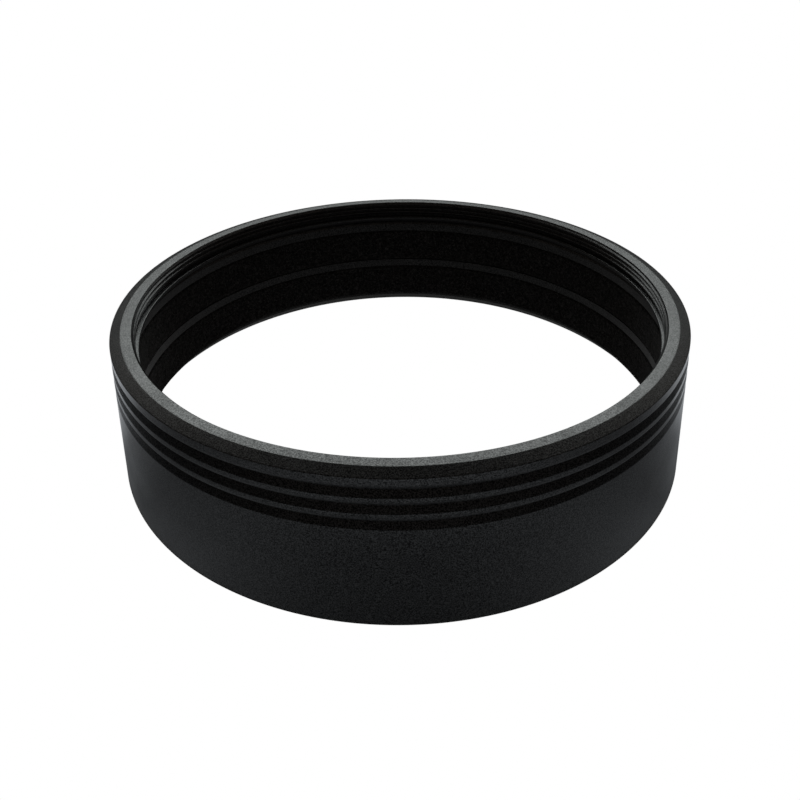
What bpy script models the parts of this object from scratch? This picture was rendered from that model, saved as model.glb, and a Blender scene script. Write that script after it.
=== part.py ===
"""Open slip-on ring for the front of a telescope tube: a turned body with a female thread, and two felt strips.

Lengths are in metres. The ring stands on its lower face at z = 0 with its axis on Z.
"""

import math

import bmesh
import bpy

MM = 0.001
AROUND = 96  # segments round the axis

# Outside of the turned body. The wall leans out a little towards the foot.
FOOT_RADIUS = 45.0 * MM
HEIGHT = 23.0 * MM
WALL_DRAFT = 0.03  # loss of radius per unit of height
TOP_OUTER_RADIUS = 42.85 * MM
TOP_CHAMFER_DROP = 0.58 * MM
FOOT_CHAMFER = 0.2 * MM
GROOVE_COUNT = 3
FIRST_GROOVE_DEPTH_Z = 1.6 * MM  # from the top face down to the first groove
GROOVE_WIDTH = 1.79 * MM
GROOVE_PITCH = 2.31 * MM
GROOVE_BROW = (0.235 * MM, 0.53 * MM)  # sunk, and below the groove's upper edge, where its rounding turns in
GROOVE_FLOOR = (0.55 * MM, 0.74 * MM)  # the same for the deepest point; a long straight flank leads back out

# Inside of the turned body, from the top down. Depths are measured from the top face.
MOUTH_RADIUS = 41.2 * MM
THREAD_CREST_RADIUS = 40.75 * MM
LEAD_IN_DROP = 0.5 * MM
THREAD_PITCH = 0.75 * MM
THREAD_HEIGHT = 0.36 * MM
THREAD_TURNS = 2.95
THREAD_START_DEPTH = 0.25 * MM
RELIEF_RADIUS = 41.25 * MM
RELIEF_TOP_DEPTH = 2.62 * MM
RELIEF_FOOT_DEPTH = 3.05 * MM
LIP_RADIUS = 40.4 * MM
LIP_TOP_DEPTH = 3.2 * MM
LIP_NOSE_DEPTH = 3.4 * MM
STOP_RADIUS = 41.0 * MM  # inner edge of the lip's flat underside, where the tube's end seats
STOP_DEPTH = 3.9 * MM
UNDERCUT_RADIUS = 42.45 * MM  # a V-shaped groove in the bore just below the stop
UNDERCUT_TOP_DEPTH = 4.15 * MM
UNDERCUT_DEPTH = 4.5 * MM
UNDERCUT_FOOT_DEPTH = 4.95 * MM
BORE_RADIUS = 41.93 * MM
CHANNEL_RADIUS = 43.1 * MM
CHANNEL_HEIGHT = 6.4 * MM
UPPER_CHANNEL_DEPTH = 6.5 * MM
LOWER_CHANNEL_DEPTH = 14.4 * MM
KEEPER_RADIUS = 42.4 * MM  # the thin rib that holds the lower strip from below
KEEPER_FOOT_DEPTH = 21.3 * MM
LEAD_IN_TOP_RADIUS = 43.2 * MM  # a wide cone leads the tube in from below
LEAD_IN_TOP_DEPTH = 21.75 * MM
LEAD_IN_FOOT_RADIUS = 44.2 * MM

# Felt strips. The gap stands for the glue behind each strip.
FELT_INNER_RADIUS = 41.83 * MM
FELT_GAP = 0.3 * MM
FELT_ROUNDING = 0.25 * MM
FELT_SEAM = 0.6 * MM
SEAM_ANGLE = math.radians(-90)


def clear_scene():
    for old in list(bpy.data.objects):
        bpy.data.objects.remove(old, do_unlink=True)


def material(name, colour, roughness, metallic):
    made = bpy.data.materials.new(name)
    made.use_nodes = True
    shader = made.node_tree.nodes["Principled BSDF"]
    shader.inputs["Base Color"].default_value = (*colour, 1)
    shader.inputs["Roughness"].default_value = roughness
    shader.inputs["Metallic"].default_value = metallic
    return made


def add_object(name, mesh, look=None):
    made = bpy.data.objects.new(name, mesh)
    bpy.context.scene.collection.objects.link(made)
    if look:
        mesh.materials.append(look)
    return made


def wall_radius(z):
    return FOOT_RADIUS - WALL_DRAFT * z


def groove_outline(top):
    """Points down one grip groove, its edges on the wall left out."""
    return [(wall_radius(top - drop) - sunk, top - drop) for sunk, drop in (GROOVE_BROW, GROOVE_FLOOR)]


def body_outline():
    """The turned section as (radius, z), down the outside and back up the inside."""
    shoulder = HEIGHT - TOP_CHAMFER_DROP
    outline = [(TOP_OUTER_RADIUS, HEIGHT), (wall_radius(shoulder), shoulder)]
    for index in range(GROOVE_COUNT):
        top = HEIGHT - FIRST_GROOVE_DEPTH_Z - index * GROOVE_PITCH
        outline.append((wall_radius(top), top))
        outline.extend(groove_outline(top))
        outline.append((wall_radius(top - GROOVE_WIDTH), top - GROOVE_WIDTH))
    outline.append((wall_radius(FOOT_CHAMFER), FOOT_CHAMFER))
    outline.append((FOOT_RADIUS - FOOT_CHAMFER, 0))
    outline.append((LEAD_IN_FOOT_RADIUS, 0))
    outline.append((LEAD_IN_TOP_RADIUS, HEIGHT - LEAD_IN_TOP_DEPTH))
    outline.append((KEEPER_RADIUS, HEIGHT - KEEPER_FOOT_DEPTH))
    for depth in (LOWER_CHANNEL_DEPTH, UPPER_CHANNEL_DEPTH):
        top = HEIGHT - depth
        foot = top - CHANNEL_HEIGHT
        inner = KEEPER_RADIUS if depth == LOWER_CHANNEL_DEPTH else BORE_RADIUS
        outline.append((inner, foot))
        outline.append((CHANNEL_RADIUS, foot))
        outline.append((CHANNEL_RADIUS, top))
        outline.append((BORE_RADIUS, top))
    outline.append((BORE_RADIUS, HEIGHT - UNDERCUT_FOOT_DEPTH))
    outline.append((UNDERCUT_RADIUS, HEIGHT - UNDERCUT_DEPTH))
    outline.append((BORE_RADIUS, HEIGHT - UNDERCUT_TOP_DEPTH))
    outline.append((BORE_RADIUS, HEIGHT - STOP_DEPTH))
    outline.append((STOP_RADIUS, HEIGHT - STOP_DEPTH))
    outline.append((LIP_RADIUS, HEIGHT - LIP_NOSE_DEPTH))
    outline.append((LIP_RADIUS, HEIGHT - LIP_TOP_DEPTH))
    outline.append((RELIEF_RADIUS, HEIGHT - RELIEF_FOOT_DEPTH))
    outline.append((RELIEF_RADIUS, HEIGHT - RELIEF_TOP_DEPTH))
    outline.append((THREAD_CREST_RADIUS, HEIGHT - RELIEF_TOP_DEPTH + 0.15 * MM))
    outline.append((THREAD_CREST_RADIUS, HEIGHT - LEAD_IN_DROP))
    outline.append((MOUTH_RADIUS, HEIGHT))
    return outline


def turned(name, outline, look):
    """A closed outline turned about Z with the Screw modifier."""
    mesh = bpy.data.meshes.new(name)
    count = len(outline)
    edges = [(i, (i + 1) % count) for i in range(count)]
    mesh.from_pydata([(r, 0, z) for r, z in outline], edges, [])
    made = add_object(name, mesh, look)
    screw = made.modifiers.new("Turn", "SCREW")
    screw.axis = "Z"
    screw.steps = AROUND
    screw.render_steps = AROUND
    screw.use_merge_vertices = True
    screw.merge_threshold = 1e-6
    screw.use_smooth_shade = True
    return made


def skinned(name, sections, look=None):
    """A solid through closed sections, with a flat cap at each end."""
    work = bmesh.new()
    rings = [[work.verts.new(point) for point in section] for section in sections]
    count = len(rings[0])
    for first, second in zip(rings, rings[1:]):
        for i in range(count):
            j = (i + 1) % count
            work.faces.new((first[i], first[j], second[j], second[i]))
    work.faces.new(rings[0][::-1])
    work.faces.new(rings[-1])
    bmesh.ops.recalc_face_normals(work, faces=work.faces[:])
    mesh = bpy.data.meshes.new(name)
    work.to_mesh(mesh)
    work.free()
    return add_object(name, mesh, look)


def thread_cutter():
    """A helical wedge that cuts the female thread. It runs out of the wall at its start and into the relief."""
    inner = THREAD_CREST_RADIUS - 0.3 * MM
    outer = THREAD_CREST_RADIUS + THREAD_HEIGHT
    slope = (THREAD_PITCH / 2 - 0.06 * MM) / THREAD_HEIGHT
    half_in = 0.03 * MM + slope * (outer - inner)
    steps = int(THREAD_TURNS * AROUND)
    sections = []
    for step in range(steps + 1):
        # Down and clockwise from above, as a right-hand thread goes. Half a segment of offset keeps the
        # cutter's points off the body's own edges.
        angle = -2 * math.pi * (step + 0.5) / AROUND
        z = HEIGHT - THREAD_START_DEPTH - THREAD_PITCH * step / AROUND
        across = ((inner, half_in), (outer, 0.03 * MM), (outer, -0.03 * MM), (inner, -half_in))
        sections.append([(r * math.cos(angle), r * math.sin(angle), z + dz) for r, dz in across])
    cutter = skinned("thread_cutter", sections)
    cutter.hide_render = True
    cutter.display_type = "WIRE"
    return cutter


def cut(target, cutter):
    boolean = target.modifiers.new("Cut_" + cutter.name, "BOOLEAN")
    boolean.operation = "DIFFERENCE"
    boolean.solver = "EXACT"
    boolean.object = cutter


def settle(made, sharp_above):
    """Keeps the result of the modifiers as the mesh, smooth except at edges over the given angle."""
    graph = bpy.context.evaluated_depsgraph_get()
    mesh = bpy.data.meshes.new_from_object(made.evaluated_get(graph))
    made.modifiers.clear()
    made.data = mesh
    for face in mesh.polygons:
        face.use_smooth = True
    mesh.set_sharp_from_angle(angle=sharp_above)


def felt_outline(foot, top):
    """The strip's section, with its two inner corners rounded."""
    outer = CHANNEL_RADIUS - FELT_GAP
    inner = FELT_INNER_RADIUS
    points = [(outer, foot), (outer, top)]
    for start, centre_z in ((90, top - FELT_ROUNDING), (180, foot + FELT_ROUNDING)):
        for turn in (0, 45, 90):
            angle = math.radians(start + turn)
            r = inner + FELT_ROUNDING + FELT_ROUNDING * math.cos(angle)
            points.append((r, centre_z + FELT_ROUNDING * math.sin(angle)))
    return points


def felt_strip(name, channel_depth, look):
    """A strip bent round the channel, open at its butt seam."""
    top = HEIGHT - channel_depth - FELT_GAP
    foot = HEIGHT - channel_depth - CHANNEL_HEIGHT + FELT_GAP
    half_seam = FELT_SEAM / 2 / FELT_INNER_RADIUS
    start = SEAM_ANGLE + half_seam
    sweep = 2 * math.pi - 2 * half_seam
    outline = felt_outline(foot, top)
    sections = []
    for step in range(AROUND + 1):
        angle = start + sweep * step / AROUND
        sections.append([(r * math.cos(angle), r * math.sin(angle), z) for r, z in outline])
    strip = skinned(name, sections, look)
    settle(strip, math.radians(50))


clear_scene()
anodised = material("black_anodised", (0.018, 0.019, 0.02), 0.42, 0.0)
felt = material("black_felt", (0.008, 0.008, 0.008), 0.95, 0.0)

body = turned("ring_body", body_outline(), anodised)
cut(body, thread_cutter())
settle(body, math.radians(25))
felt_strip("felt_strip_upper", UPPER_CHANNEL_DEPTH, felt)
felt_strip("felt_strip_lower", LOWER_CHANNEL_DEPTH, felt)
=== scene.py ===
"""The looks of a black anodised slip-on ring with two felt strips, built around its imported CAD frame."""

import math

import bmesh
import bpy
import numpy as np
from mathutils import Matrix, Vector


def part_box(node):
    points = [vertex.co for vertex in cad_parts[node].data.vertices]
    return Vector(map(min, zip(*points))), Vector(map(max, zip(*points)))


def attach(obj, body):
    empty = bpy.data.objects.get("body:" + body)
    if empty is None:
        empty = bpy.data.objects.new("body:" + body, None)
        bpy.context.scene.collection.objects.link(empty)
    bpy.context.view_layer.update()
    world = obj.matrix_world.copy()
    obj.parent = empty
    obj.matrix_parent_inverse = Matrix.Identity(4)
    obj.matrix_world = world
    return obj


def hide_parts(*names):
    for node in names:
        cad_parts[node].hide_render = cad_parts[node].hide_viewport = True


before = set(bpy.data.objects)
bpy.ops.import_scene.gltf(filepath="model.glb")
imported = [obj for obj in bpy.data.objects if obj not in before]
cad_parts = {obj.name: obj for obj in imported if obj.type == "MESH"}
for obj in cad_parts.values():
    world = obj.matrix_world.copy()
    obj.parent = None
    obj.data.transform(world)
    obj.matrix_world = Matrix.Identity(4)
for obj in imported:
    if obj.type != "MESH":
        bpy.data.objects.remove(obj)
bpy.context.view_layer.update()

MM = 0.001
BODY = "root"
RING_LOW, RING_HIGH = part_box("ring_body")
HEIGHT = (RING_HIGH.z - RING_LOW.z) / MM  # every length below is in millimetres, as in part.py

# ---------------------------------------------------------------- the turned ring
AROUND = 480  # columns of the mesh round the axis
FOOT_RADIUS = 45.0
WALL_DRAFT = 0.03
TOP_OUTER_RADIUS = 42.7
TOP_EDGE_ROUNDING = 0.09
TOP_CHAMFER_DROP = 0.58
FOOT_CHAMFER = 0.2
GROOVE_COUNT = 3
FIRST_GROOVE_DEPTH = 1.6
GROOVE_WIDTH = 1.79
GROOVE_PITCH = 2.31
GROOVE_BROW_RADIUS = 0.7  # the soft turn inwards under each land
GROOVE_BROW_TILT = math.radians(60)
GROOVE_BROW_STEPS = 7
GROOVE_FLOOR = (0.55, 0.74)  # sunk, and below the groove's upper edge
GROOVE_FLOOR_ROUNDING = 0.1
LAND_ROUNDING = 0.3
SHOULDER_ROUNDING = 0.14

MOUTH_RADIUS = 41.2
CREST_RADIUS = 40.75
LEAD_IN_DROP = 0.5
THREAD_PITCH = 0.75
THREAD_HEIGHT = 0.36
THREAD_START_DEPTH = 0.25
THREAD_FLAT = 0.12  # how much of the way up from a crest stays flat, and the same at the groove's floor
THREAD_SOFTNESS = 0.35  # how far each flank is eased at its two ends
THREAD_ROW = 0.045  # spacing of mesh rows across the thread
THREAD_FOOT_RISE = 0.14  # from the relief's upper edge to the first of those rows
RELIEF_RADIUS = 41.25
RELIEF_TOP_DEPTH = 2.45
RELIEF_FOOT_DEPTH = 2.75
LIP_RADIUS = 40.4
LIP_TOP_DEPTH = 2.85
LIP_NOSE_DEPTH = 3.15
LIP_ROUNDING = 0.15
STOP_RADIUS = 41.0
STOP_DEPTH = 3.9
UNDERCUT_RADIUS = 42.45
UNDERCUT_TOP_DEPTH = 4.05
UNDERCUT_DEPTH = 4.35
UNDERCUT_FOOT_DEPTH = 5.05
UNDERCUT_ROUNDING = 0.1
BORE_RADIUS = 41.93
CHANNEL_RADIUS = 43.1
CHANNEL_HEIGHT = 6.4
CHANNEL_DEPTHS = (6.5, 14.4)
KEEPER_RADIUS = 42.4
KEEPER_FOOT_DEPTH = 21.3
LEAD_IN_TOP_RADIUS = 43.2
LEAD_IN_TOP_DEPTH = 21.75
LEAD_IN_FOOT_RADIUS = 44.2
EDGE = 0.06  # the small break on every other turned edge
EDGE_STEPS = 2  # parts of the arc on a break as small as that
ROUNDING_ROOM = 0.45  # an arc takes at most this much of the edges beside it
NEARLY_STRAIGHT = math.radians(87)  # half the angle at a corner too blunt to round

# ---------------------------------------------------------------- the felt strips
FELT_INNER_RADIUS = 41.83
FELT_GAP = 0.12
FELT_GLUE = 0.3
FELT_ROUNDING = 0.35
FELT_BACK_ROUNDING = 0.1
FELT_ROUNDING_STEPS = 6
FELT_SEAM = 0.35
SEAM_ANGLE = math.radians(-90)
FELT_CELL = 0.22  # mesh spacing on the side that shows
FELT_BACK_CELL = 1.5
FELT_FACE_MARGIN = 0.01
FELT_FACE_REACH = 0.6  # how far behind the inner face the lumps end
FELT_FACE_FADE = 0.4  # the part of that over which they die away
FELT_LUMPS = 0.05
BROAD_LUMP_CELLS = (7, 9)  # mesh cells per lump, across and along the strip
FINE_LUMP_CELLS = (3, 4)
FINE_LUMP_SHARE = 0.6
FELT_FUZZ = 0.035
FELT_WANDER = 0.06  # how far the strip's edges stray up and down
WANDER_CELLS = (3, 60)


def wall_radius(z):
    return FOOT_RADIUS - WALL_DRAFT * z


def rounded(corners, steps=5):
    """A closed outline from (r, z, rounding) corners, each one replaced by an arc of that radius."""
    outline = []
    count = len(corners)
    for i, (r, z, rounding) in enumerate(corners):
        here = np.array((r, z))
        before = np.array(corners[i - 1][:2]) - here
        after = np.array(corners[(i + 1) % count][:2]) - here
        room = ROUNDING_ROOM * min(np.linalg.norm(before), np.linalg.norm(after))
        before, after = before / np.linalg.norm(before), after / np.linalg.norm(after)
        half = math.acos(max(-1.0, min(1.0, before @ after))) / 2
        if rounding <= 0 or half > NEARLY_STRAIGHT:
            outline.append(tuple(here))
            continue
        reach = min(rounding / math.tan(half), room)
        radius = reach * math.tan(half)
        centre = here + (before + after) / np.linalg.norm(before + after) * radius / math.sin(half)
        start, end = here + before * reach - centre, here + after * reach - centre
        first = math.atan2(start[1], start[0])
        turn = (math.atan2(end[1], end[0]) - first + math.pi) % (2 * math.pi) - math.pi
        parts = min(steps, EDGE_STEPS) if rounding <= EDGE else steps
        for step in range(parts + 1):
            angle = first + turn * step / parts
            outline.append(tuple(centre + radius * np.array((math.cos(angle), math.sin(angle)))))
    return outline


def groove_points(top):
    """Corners of one grip groove: a soft brow under the land, a deep corner, then a straight flank out."""
    corners = []
    for step in range(1, GROOVE_BROW_STEPS + 1):
        tilt = GROOVE_BROW_TILT * step / GROOVE_BROW_STEPS
        drop = GROOVE_BROW_RADIUS * math.sin(tilt)
        sunk = GROOVE_BROW_RADIUS * (1 - math.cos(tilt))
        corners.append((wall_radius(top - drop) - sunk, top - drop, 0))
    sunk, drop = GROOVE_FLOOR
    corners.append((wall_radius(top - drop) - sunk, top - drop, GROOVE_FLOOR_ROUNDING))
    return corners


def ring_outline():
    """(radius, z) down the outside and back up the inside, the threaded mouth left to thread_rows."""
    shoulder = HEIGHT - TOP_CHAMFER_DROP
    corners = [
        (TOP_OUTER_RADIUS, HEIGHT, TOP_EDGE_ROUNDING),
        (wall_radius(shoulder), shoulder, SHOULDER_ROUNDING),
    ]
    for index in range(GROOVE_COUNT):
        top = HEIGHT - FIRST_GROOVE_DEPTH - index * GROOVE_PITCH
        corners.append((wall_radius(top), top, 0))
        corners += groove_points(top)
        corners.append((wall_radius(top - GROOVE_WIDTH), top - GROOVE_WIDTH, LAND_ROUNDING))
    corners += [
        (wall_radius(FOOT_CHAMFER), FOOT_CHAMFER, EDGE),
        (FOOT_RADIUS - FOOT_CHAMFER, 0, EDGE),
        (LEAD_IN_FOOT_RADIUS, 0, EDGE),
        (LEAD_IN_TOP_RADIUS, HEIGHT - LEAD_IN_TOP_DEPTH, EDGE),
        (KEEPER_RADIUS, HEIGHT - KEEPER_FOOT_DEPTH, EDGE),
    ]
    for depth in reversed(CHANNEL_DEPTHS):
        top, foot = HEIGHT - depth, HEIGHT - depth - CHANNEL_HEIGHT
        inner = KEEPER_RADIUS if depth == CHANNEL_DEPTHS[-1] else BORE_RADIUS
        corners += [
            (inner, foot, EDGE),
            (CHANNEL_RADIUS, foot, EDGE),
            (CHANNEL_RADIUS, top, EDGE),
            (BORE_RADIUS, top, EDGE),
        ]
    corners += [
        (BORE_RADIUS, HEIGHT - UNDERCUT_FOOT_DEPTH, EDGE),
        (UNDERCUT_RADIUS, HEIGHT - UNDERCUT_DEPTH, UNDERCUT_ROUNDING),
        (BORE_RADIUS, HEIGHT - UNDERCUT_TOP_DEPTH, EDGE),
        (BORE_RADIUS, HEIGHT - STOP_DEPTH, EDGE),
        (STOP_RADIUS, HEIGHT - STOP_DEPTH, EDGE),
        (LIP_RADIUS, HEIGHT - LIP_NOSE_DEPTH, LIP_ROUNDING),
        (LIP_RADIUS, HEIGHT - LIP_TOP_DEPTH, LIP_ROUNDING),
        (RELIEF_RADIUS, HEIGHT - RELIEF_FOOT_DEPTH, EDGE),
        (RELIEF_RADIUS, HEIGHT - RELIEF_TOP_DEPTH, EDGE),
    ]
    return rounded(corners)


def thread_radius(z, angles):
    """The female thread at height z round the ring: a mouth cone, then V grooves down a right-hand helix."""
    depth = HEIGHT - z
    mouth = MOUTH_RADIUS - (MOUTH_RADIUS - CREST_RADIUS) * min(depth / LEAD_IN_DROP, 1.0)
    turns = (depth - THREAD_START_DEPTH) / THREAD_PITCH + angles / (2 * math.pi)
    wave = 1 - np.abs(((turns + 0.5) % 1.0) - 0.5) * 2  # 1 at a groove's middle, 0 at a crest
    cut = np.clip((wave - THREAD_FLAT) / (1 - 2 * THREAD_FLAT), 0, 1)
    cut = cut * cut * (3 - 2 * cut) * THREAD_SOFTNESS + cut * (1 - THREAD_SOFTNESS)
    return np.maximum(mouth, CREST_RADIUS + THREAD_HEIGHT * cut)


def thread_rows(angles):
    """Radius and height of each mesh row from the relief up to the mouth's edge."""
    rows = []
    foot = HEIGHT - RELIEF_TOP_DEPTH + THREAD_FOOT_RISE
    count = round((HEIGHT - foot) / THREAD_ROW)
    for step in range(count + 1):
        z = foot + (HEIGHT - foot) * step / count
        rows.append((thread_radius(z, angles), np.full_like(angles, z)))
    return rows


def grid_mesh(name, rows, close_around, close_rows):
    """A quad mesh through rows of points, each row an (n, 3) array in millimetres."""
    rows = np.stack(rows)
    count, around = rows.shape[:2]
    index = np.arange(count * around).reshape(count, around)
    below = index if close_rows else index[:-1]
    above = np.roll(index, -1, 0) if close_rows else index[1:]
    if close_around:
        faces = np.stack([below, np.roll(below, -1, 1), np.roll(above, -1, 1), above], -1)
    else:
        faces = np.stack([below[:, :-1], below[:, 1:], above[:, 1:], above[:, :-1]], -1)
    faces = faces.reshape(-1, 4)
    mesh = bpy.data.meshes.new(name)
    mesh.vertices.add(count * around)
    mesh.vertices.foreach_set("co", (rows.reshape(-1, 3) * MM).astype(np.float32).ravel())
    mesh.loops.add(faces.size)
    mesh.loops.foreach_set("vertex_index", faces.astype(np.int32).ravel())
    mesh.polygons.add(len(faces))
    mesh.polygons.foreach_set("loop_start", np.arange(0, faces.size, 4, dtype=np.int32))
    mesh.polygons.foreach_set("use_smooth", np.ones(len(faces), bool))
    mesh.update(calc_edges=True)
    mesh.validate()
    made = bpy.data.objects.new(name, mesh)
    bpy.context.scene.collection.objects.link(made)
    return made


def make_ring():
    angles = np.arange(AROUND) * 2 * math.pi / AROUND
    circle = np.stack([np.cos(angles), np.sin(angles)], -1)
    rows = [(np.full(AROUND, r), np.full(AROUND, z)) for r, z in ring_outline()]
    rows += thread_rows(angles)
    points = [np.column_stack([circle * r[:, None], z]) for r, z in rows]
    made = grid_mesh("ring_body_turned", points, True, True)
    flats = made.modifiers.new("Flats stay flat", "WEIGHTED_NORMAL")
    flats.mode = "FACE_AREA"
    flats.weight = 100
    return made


# ---------------------------------------------------------------- materials
GRAIN_SCALE = 6200.0  # noise cells in a metre: the blasted grain of the metal
GRAIN_RANGE = (0.36, 0.66)  # the part of the noise between the darkest and the lightest grain
GRAIN_COLOURS = ((0.0002, 0.0002, 0.0002), (0.0125, 0.0127, 0.0132))
GRAIN_GLINTS = ((0.04, 0.04, 0.04), (1, 1, 1))
GRAIN_BUMP = 0.00002
PATCH_SCALE = 160.0
PATCH_RANGE = (0.3, 0.7)
PATCH_ROUGHNESS = (0.28, 0.36)
ANODISED_IOR = 1.7
FIBRE_SCALE = 2600.0
FIBRE_RANGE = (0.45, 0.68)
FIBRE_COLOURS = ((0.0004, 0.0004, 0.0004), (0.06, 0.059, 0.059))
FIBRE_BUMP = 0.00008


def new_material(name):
    made = bpy.data.materials.new(name)
    made.use_nodes = True
    tree = made.node_tree
    return made, tree, tree.nodes["Principled BSDF"]


def node(tree, kind, **values):
    made = tree.nodes.new(kind)
    for key, value in values.items():
        if key in made.inputs:
            made.inputs[key].default_value = value
        else:
            setattr(made, key, value)
    return made


def colour_ramp(tree, source, stops, interpolation="LINEAR"):
    """The source turned into a colour by (position, colour) stops."""
    made = node(tree, "ShaderNodeValToRGB")
    made.color_ramp.interpolation = interpolation
    elements = made.color_ramp.elements
    elements.remove(elements[-1])
    for i, (position, colour) in enumerate(stops):
        element = elements[0] if i == 0 else elements.new(position)
        element.position = position
        element.color = (*colour, 1)
    tree.links.new(source, made.inputs["Fac"])
    return made.outputs["Color"]


def map_range(tree, source, low, high, **values):
    """The source moved from low..high to 0..1, and kept inside it."""
    made = node(tree, "ShaderNodeMapRange", **values)
    made.inputs["From Min"].default_value = low
    made.inputs["From Max"].default_value = high
    tree.links.new(source, made.inputs["Value"])
    return made


def mix_colours(tree, share, first, second):
    """A colour between two others, each one an output or a plain (red, green, blue)."""
    made = node(tree, "ShaderNodeMix", data_type="RGBA")
    tree.links.new(share, made.inputs[0])
    for socket, colour in ((made.inputs[6], first), (made.inputs[7], second)):
        if isinstance(colour, tuple):
            socket.default_value = (*colour, 1)
        else:
            tree.links.new(colour, socket)
    return made.outputs[2]


def anodised_material():
    made, tree, shader = new_material("black_anodised_satin")
    link = tree.links.new
    place = node(tree, "ShaderNodeTexCoord")
    grain = node(tree, "ShaderNodeTexNoise", Scale=GRAIN_SCALE, Detail=1.5, Roughness=0.6)
    link(place.outputs["Object"], grain.inputs["Vector"])
    patches = node(tree, "ShaderNodeTexNoise", Scale=PATCH_SCALE, Detail=3.0, Roughness=0.55)
    link(place.outputs["Object"], patches.inputs["Vector"])
    for colours, socket in ((GRAIN_COLOURS, "Base Color"), (GRAIN_GLINTS, "Specular Tint")):
        colour = colour_ramp(tree, grain.outputs["Fac"], list(zip(GRAIN_RANGE, colours)))
        link(colour, shader.inputs[socket])
    rough = map_range(tree, patches.outputs["Fac"], *PATCH_RANGE)
    rough.inputs["To Min"].default_value, rough.inputs["To Max"].default_value = PATCH_ROUGHNESS
    link(rough.outputs["Result"], shader.inputs["Roughness"])
    bump = node(tree, "ShaderNodeBump", Strength=1.0, Distance=GRAIN_BUMP)
    link(grain.outputs["Fac"], bump.inputs["Height"])
    link(bump.outputs["Normal"], shader.inputs["Normal"])
    shader.inputs["IOR"].default_value = ANODISED_IOR
    return made


def felt_material():
    made, tree, shader = new_material("black_felt_pile")
    link = tree.links.new
    place = node(tree, "ShaderNodeTexCoord")
    fibres = node(tree, "ShaderNodeTexNoise", Scale=FIBRE_SCALE, Detail=4.0, Roughness=0.7, Distortion=1.2)
    link(place.outputs["Object"], fibres.inputs["Vector"])
    colour = colour_ramp(tree, fibres.outputs["Fac"], list(zip(FIBRE_RANGE, FIBRE_COLOURS)))
    link(colour, shader.inputs["Base Color"])
    bump = node(tree, "ShaderNodeBump", Strength=0.8, Distance=FIBRE_BUMP)
    link(fibres.outputs["Fac"], bump.inputs["Height"])
    link(bump.outputs["Normal"], shader.inputs["Normal"])
    shader.inputs["Roughness"].default_value = 0.95
    shader.inputs["Specular IOR Level"].default_value = 0.08
    shader.inputs["Sheen Weight"].default_value = 0.06
    shader.inputs["Sheen Roughness"].default_value = 0.5
    return made


# ---------------------------------------------------------------- felt
def smooth_noise(rng, rows, columns, cell_rows, cell_columns):
    """Seeded value noise on a grid, between -1 and 1, smooth over the given number of cells."""
    coarse = rng.uniform(-1, 1, (rows // cell_rows + 3, columns // cell_columns + 3))
    y, x = np.arange(rows) / cell_rows, np.arange(columns) / cell_columns
    iy, ix = y.astype(int), x.astype(int)
    fy, fx = (y - iy)[:, None], (x - ix)[None, :]
    fy, fx = fy * fy * (3 - 2 * fy), fx * fx * (3 - 2 * fx)
    a, b = coarse[iy][:, ix], coarse[iy][:, ix + 1]
    c, d = coarse[iy + 1][:, ix], coarse[iy + 1][:, ix + 1]
    return a * (1 - fy) * (1 - fx) + b * (1 - fy) * fx + c * fy * (1 - fx) + d * fy * fx


def felt_section(foot, top):
    """A closed (radius, z) outline round the strip, dense where it shows, and the way out at each point."""
    inner, outer = FELT_INNER_RADIUS, CHANNEL_RADIUS - FELT_GLUE
    outline = rounded(
        [
            (inner, foot, FELT_ROUNDING),
            (outer, foot, FELT_BACK_ROUNDING),
            (outer, top, FELT_BACK_ROUNDING),
            (inner, top, FELT_ROUNDING),
        ],
        steps=FELT_ROUNDING_STEPS,
    )
    dense = []
    for i, start in enumerate(outline):
        end = outline[(i + 1) % len(outline)]
        length = math.dist(start, end)
        shown = max(start[0], end[0]) < inner + FELT_ROUNDING + FELT_FACE_MARGIN
        parts = max(1, round(length / (FELT_CELL if shown else FELT_BACK_CELL)))
        for part in range(parts):
            dense.append(np.array(start) + (np.array(end) - start) * part / parts)
    dense = np.array(dense)
    along = np.roll(dense, -1, 0) - np.roll(dense, 1, 0)
    out = np.stack([along[:, 1], -along[:, 0]], -1)
    return dense, out / np.linalg.norm(out, axis=1)[:, None]


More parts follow.
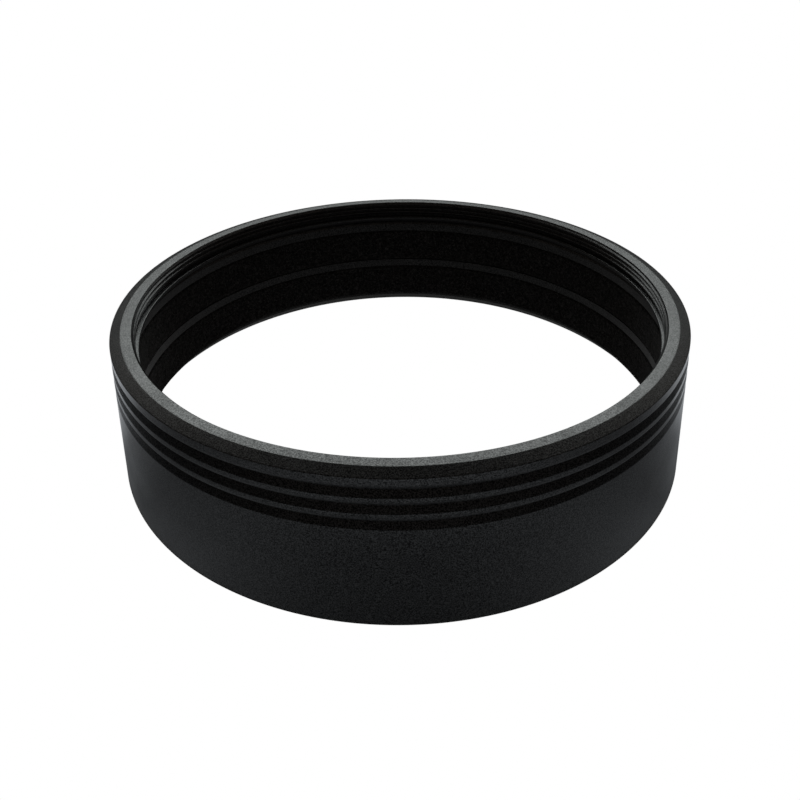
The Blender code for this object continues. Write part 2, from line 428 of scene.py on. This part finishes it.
def make_felt(name, depth, seed):
    rng = np.random.default_rng(seed)
    top = HEIGHT - depth - FELT_GAP
    foot = HEIGHT - depth - CHANNEL_HEIGHT + FELT_GAP
    outline, out = felt_section(foot, top)
    half_seam = FELT_SEAM / 2 / FELT_INNER_RADIUS
    sweep = 2 * math.pi - 2 * half_seam
    columns = round(sweep * FELT_INNER_RADIUS / FELT_CELL)
    angles = SEAM_ANGLE + half_seam + sweep * np.arange(columns + 1) / columns
    rows = len(outline)
    lumps = smooth_noise(rng, rows, columns + 1, *BROAD_LUMP_CELLS)
    lumps = lumps + FINE_LUMP_SHARE * smooth_noise(rng, rows, columns + 1, *FINE_LUMP_CELLS)
    fuzz = rng.uniform(-1, 1, (rows, columns + 1))
    shown = np.clip((FELT_INNER_RADIUS + FELT_FACE_REACH - outline[:, 0]) / FELT_FACE_FADE, 0, 1)[:, None]
    swell = (FELT_LUMPS * lumps + FELT_FUZZ * fuzz) * shown
    wander = FELT_WANDER * smooth_noise(rng, 3, columns + 1, *WANDER_CELLS)[1]
    points = []
    for i, (r, z) in enumerate(outline):
        rr = r + out[i, 0] * swell[i]
        zz = z + out[i, 1] * swell[i] + wander * shown[i]
        points.append(np.column_stack([rr * np.cos(angles), rr * np.sin(angles), zz]))
    made = grid_mesh(name, points, False, True)
    # The two cut ends of the strip, at the butt seam.
    mesh = made.data
    first_end = [i * (columns + 1) for i in range(rows)]
    last_end = [i * (columns + 1) + columns for i in range(rows)]
    work = bmesh.new()
    work.from_mesh(mesh)
    work.verts.ensure_lookup_table()
    work.faces.new([work.verts[i] for i in first_end])
    work.faces.new([work.verts[i] for i in reversed(last_end)])
    bmesh.ops.recalc_face_normals(work, faces=work.faces[:])
    work.to_mesh(mesh)
    work.free()
    return made


# ---------------------------------------------------------------- stage
WORLD_STRENGTH = 4.0
GREY, COOL, WARM, PALE = (1, 1, 1), (0.86, 0.97, 1.1), (1.12, 0.98, 0.88), (0.95, 1.0, 0.985)
# The room's light by the height of its direction (-1 is straight down), as (height, level, tint).
ROOM_FRONT = (
    (-1.0, 0.008, COOL),
    (-0.3, 0.03, COOL),
    (0.0, 0.01, COOL),
    (0.28, 0.006, WARM),
    (0.45, 0.04, WARM),
    (0.75, 0.03, WARM),
    (1.0, 0.016, WARM),
)
ROOM_BACK = (
    (-1.0, 0.006, GREY),
    (-0.1, 0.014, PALE),
    (0.15, 0.03, PALE),
    (0.3, 0.06, PALE),
    (0.38, 0.15, PALE),
    (0.48, 0.8, PALE),
    (0.7, 0.9, PALE),
    (0.77, 0.12, PALE),
    (0.85, 0.01, PALE),
    (1.0, 0.008, WARM),
)
ROOM_TURN = (0.7, 0.93)  # how far round to the back (1) the front's light gives way to the back's

# The light coming off the table in front of the ring, as (distance from the axis in mm, level): painted
# light that no lamp casts, its low levels by the foot a painted shadow of the ring.
TABLE_STOPS = (
    (44.5, 0.13),
    (52, 0.17),
    (61, 0.16),
    (67, 0.3),
    (75, 0.85),
    (83, 0.6),
    (97, 0.12),
    (150, 0.04),
)
# From the front (-1) round to the back (1), as (how far round, share of the side light, its level).
TABLE_ROUND = (
    (-1.0, 0.0, 0.3),
    (-0.92, 0.35, 0.3),
    (-0.78, 0.85, 0.25),
    (-0.5, 1.0, 0.14),
    (-0.2, 1.0, 0.25),
    (0.05, 1.0, 0.9),
    (0.3, 1.0, 1.1),
    (0.7, 1.0, 0.6),
    (1.0, 1.0, 0.5),
)
TABLE_TINT = (0.95, 1, 1.05)
TABLE_EDGE = (80, 112)  # the lit part of the table fades out between these distances
TABLE_FAR = (0.04, 0.04, 0.04)
# Painted shade: inside the ring the table glows dimmer, as the ring's walls would shade it.
TABLE_INSIDE_PAINTED_SHADE = (0.13, 0.13, 0.13)
TABLE_FOOT_MARGIN = 0.3  # the inside level reaches this far past the foot
FLOOR_HALF_SIDE = 6.0  # in metres

CAMERA_TILT = 0.4568  # looking down, about 26 degrees
CAMERA_ROLL = -0.0148
CAMERA_LENS = 39.4578
CAMERA_SENSOR = 36
CAMERA_SHIFT = -0.15
CAMERA_CLIP = (0.005, 50)
RING_FROM_CAMERA = (-0.083612, -2.531217, 139.1175)  # the top's centre: right, up and ahead, in mm


def tinted(level, tint):
    return tuple(level * t for t in tint)


def ramp_place(value):
    """Where a value between -1 and 1 sits on a ramp."""
    return (value + 1) / 2


def world_studio():
    """A white room whose light comes softly from behind the object, dimmer overhead and from the front."""
    world = bpy.data.worlds.new("studio")
    bpy.context.scene.world = world
    world.use_nodes = True
    tree = world.node_tree
    link = tree.links.new
    background = tree.nodes["Background"]
    place = node(tree, "ShaderNodeTexCoord")
    split = node(tree, "ShaderNodeSeparateXYZ")
    link(place.outputs["Generated"], split.inputs["Vector"])
    height = map_range(tree, split.outputs["Z"], -1, 1).outputs["Result"]
    front, back = (
        colour_ramp(tree, height, [(ramp_place(z), tinted(level, tint)) for z, level, tint in stops])
        for stops in (ROOM_FRONT, ROOM_BACK)
    )
    level = node(tree, "ShaderNodeVectorMath", operation="MULTIPLY")
    level.inputs[1].default_value = (1, 1, 0)
    link(place.outputs["Generated"], level.inputs[0])
    bearing = node(tree, "ShaderNodeVectorMath", operation="NORMALIZE")
    link(level.outputs["Vector"], bearing.inputs[0])
    bearing_parts = node(tree, "ShaderNodeSeparateXYZ")
    link(bearing.outputs["Vector"], bearing_parts.inputs["Vector"])
    share = map_range(tree, bearing_parts.outputs["Y"], *ROOM_TURN, interpolation_type="SMOOTHSTEP")
    room = mix_colours(tree, share.outputs["Result"], front, back)
    path = node(tree, "ShaderNodeLightPath")
    white = (1 / WORLD_STRENGTH,) * 3
    link(mix_colours(tree, path.outputs["Is Camera Ray"], room, white), background.inputs["Color"])
    background.inputs["Strength"].default_value = WORLD_STRENGTH


def table_light(tree):
    """The painted light and painted shadow that the ring's reflections see coming off the table, by distance
    and by bearing: darkest by the foot and inside the ring, where the ring's shadow is painted, lit farther
    out.
    """
    link = tree.links.new
    place = node(tree, "ShaderNodeTexCoord")
    length = node(tree, "ShaderNodeVectorMath", operation="LENGTH")
    link(place.outputs["Object"], length.inputs[0])
    distance = length.outputs["Value"]
    reach = TABLE_STOPS[-1][0]
    stops = [(r / reach, tinted(level, TABLE_TINT)) for r, level in TABLE_STOPS]
    front = colour_ramp(tree, map_range(tree, distance, 0, reach * MM).outputs["Result"], stops, "EASE")

    unit = node(tree, "ShaderNodeVectorMath", operation="NORMALIZE")
    link(place.outputs["Object"], unit.inputs[0])
    split = node(tree, "ShaderNodeSeparateXYZ")
    link(unit.outputs["Vector"], split.inputs["Vector"])
    turn = map_range(tree, split.outputs["Y"], -1, 1).outputs["Result"]
    share_stops = [(ramp_place(y), tinted(share, TABLE_TINT)) for y, share, _ in TABLE_ROUND]
    side_stops = [(ramp_place(y), tinted(level, TABLE_TINT)) for y, _, level in TABLE_ROUND]
    share, side = colour_ramp(tree, turn, share_stops), colour_ramp(tree, turn, side_stops)
    near = mix_colours(tree, share, front, side)

    edge = (TABLE_EDGE[0] * MM, TABLE_EDGE[1] * MM)
    fade = map_range(tree, distance, *edge, interpolation_type="SMOOTHSTEP")
    outside = mix_colours(tree, fade.outputs["Result"], near, TABLE_FAR)
    past_wall = node(tree, "ShaderNodeMath", operation="GREATER_THAN")
    past_wall.inputs[1].default_value = (FOOT_RADIUS + TABLE_FOOT_MARGIN) * MM
    link(distance, past_wall.inputs[0])
    return mix_colours(tree, past_wall.outputs[0], TABLE_INSIDE_PAINTED_SHADE, outside)


def make_floor():
    """A plain table, white to the camera. The ring's reflections see table_light in its place, a glow of
    painted light with the ring's painted shadow in it.
    """
    mesh = bpy.data.meshes.new("floor")
    far = FLOOR_HALF_SIDE
    mesh.from_pydata([(-far, -far, 0), (far, -far, 0), (far, far, 0), (-far, far, 0)], [], [(0, 1, 2, 3)])
    made = bpy.data.objects.new("floor", mesh)
    bpy.context.scene.collection.objects.link(made)
    look = bpy.data.materials.new("pale_table")
    look.use_nodes = True
    tree = look.node_tree
    link = tree.links.new
    tree.nodes.remove(tree.nodes["Principled BSDF"])
    glow = node(tree, "ShaderNodeEmission")
    link(table_light(tree), glow.inputs["Color"])
    white = node(tree, "ShaderNodeEmission")
    path = node(tree, "ShaderNodeLightPath")
    choose = node(tree, "ShaderNodeMixShader")
    link(path.outputs["Is Camera Ray"], choose.inputs[0])
    link(glow.outputs[0], choose.inputs[1])
    link(white.outputs[0], choose.inputs[2])
    link(choose.outputs[0], tree.nodes["Material Output"].inputs["Surface"])
    mesh.materials.append(look)


def make_camera():
    """Looks down on the ring from a hand's breadth away, its lens shifted as the photo's framing needs."""
    right = Vector((1, 0, 0))
    forward = Vector((0, math.cos(CAMERA_TILT), -math.sin(CAMERA_TILT)))
    up = Vector((0, math.sin(CAMERA_TILT), math.cos(CAMERA_TILT)))
    turned_right = right * math.cos(CAMERA_ROLL) + up * math.sin(CAMERA_ROLL)
    turned_up = up * math.cos(CAMERA_ROLL) - right * math.sin(CAMERA_ROLL)
    offset = Vector(RING_FROM_CAMERA) * MM
    top_centre = Vector((0, 0, RING_HIGH.z))
    place = top_centre - (turned_right * offset.x + turned_up * offset.y + forward * offset.z)
    data = bpy.data.cameras.new("camera")
    data.sensor_width = CAMERA_SENSOR
    data.lens = CAMERA_LENS
    data.shift_y = CAMERA_SHIFT
    data.clip_start, data.clip_end = CAMERA_CLIP
    made = bpy.data.objects.new("camera", data)
    bpy.context.scene.collection.objects.link(made)
    made.matrix_world = Matrix(
        [
            (turned_right.x, turned_up.x, -forward.x, place.x),
            (turned_right.y, turned_up.y, -forward.y, place.y),
            (turned_right.z, turned_up.z, -forward.z, place.z),
            (0, 0, 0, 1),
        ]
    )
    bpy.context.scene.camera = made


anodised = anodised_material()
felt = felt_material()
ring = make_ring()
ring.data.materials.append(anodised)
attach(ring, BODY)
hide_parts("ring_body")
for felt_name, node_name, channel_depth, felt_seed in (
    ("felt_upper_pile", "felt_strip_upper", CHANNEL_DEPTHS[0], 11),
    ("felt_lower_pile", "felt_strip_lower", CHANNEL_DEPTHS[1], 12),
):
    strip = make_felt(felt_name, channel_depth, felt_seed)
    strip.data.materials.append(felt)
    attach(strip, BODY)
    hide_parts(node_name)

world_studio()
make_floor()
make_camera()
bpy.context.scene.view_settings.view_transform = "Standard"
